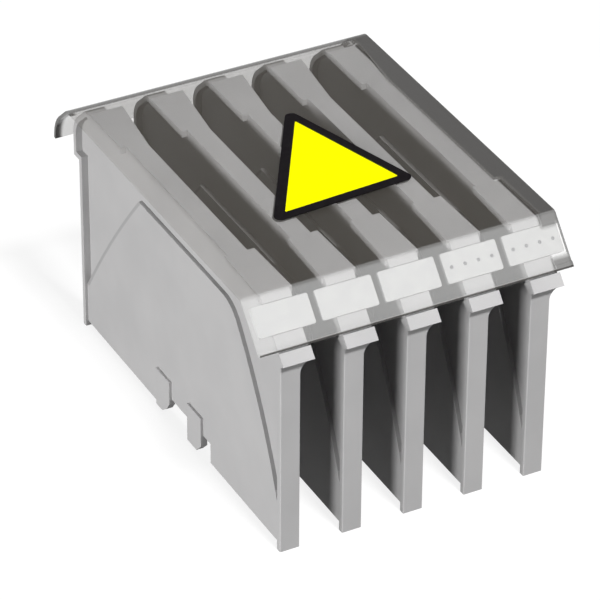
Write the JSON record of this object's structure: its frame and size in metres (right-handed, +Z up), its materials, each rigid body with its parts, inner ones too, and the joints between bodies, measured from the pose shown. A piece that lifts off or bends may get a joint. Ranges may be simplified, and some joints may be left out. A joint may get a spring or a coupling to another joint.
{
  "type": "terminal block partition plate",
  "caption": "Row of upright partition plates for rail mounted terminal blocks under one bent clear cover, with marker tags on their slanted heads.",
  "frame": {"origin": "middle of the overall footprint, on the plane that the plates' feet stand on", "axes": "+X along the row of plates, -Y towards the slanted heads, +Z up"},
  "size_m": [0.1178, 0.1622, 0.0949],
  "materials": {
    "plate_plastic": "satin moulded",
    "tag_plastic": "satin moulded",
    "clear_plastic": "clear, slightly smoked",
    "sticker_foil": "yellow with a black rim"
  },
  "bodies": {
    "root": {"partition_plate_1": "plate_plastic", "partition_plate_2": "plate_plastic", "partition_plate_3": "plate_plastic", "partition_plate_4": "plate_plastic", "partition_plate_5": "plate_plastic", "marker_tag_1": "tag_plastic", "marker_tag_2": "tag_plastic", "marker_tag_3": "tag_plastic", "marker_tag_4": "tag_plastic", "marker_tag_5": "tag_plastic", "clear_cover": "clear_plastic", "triangle_sticker": "sticker_foil"}
  },
  "joints": []
}
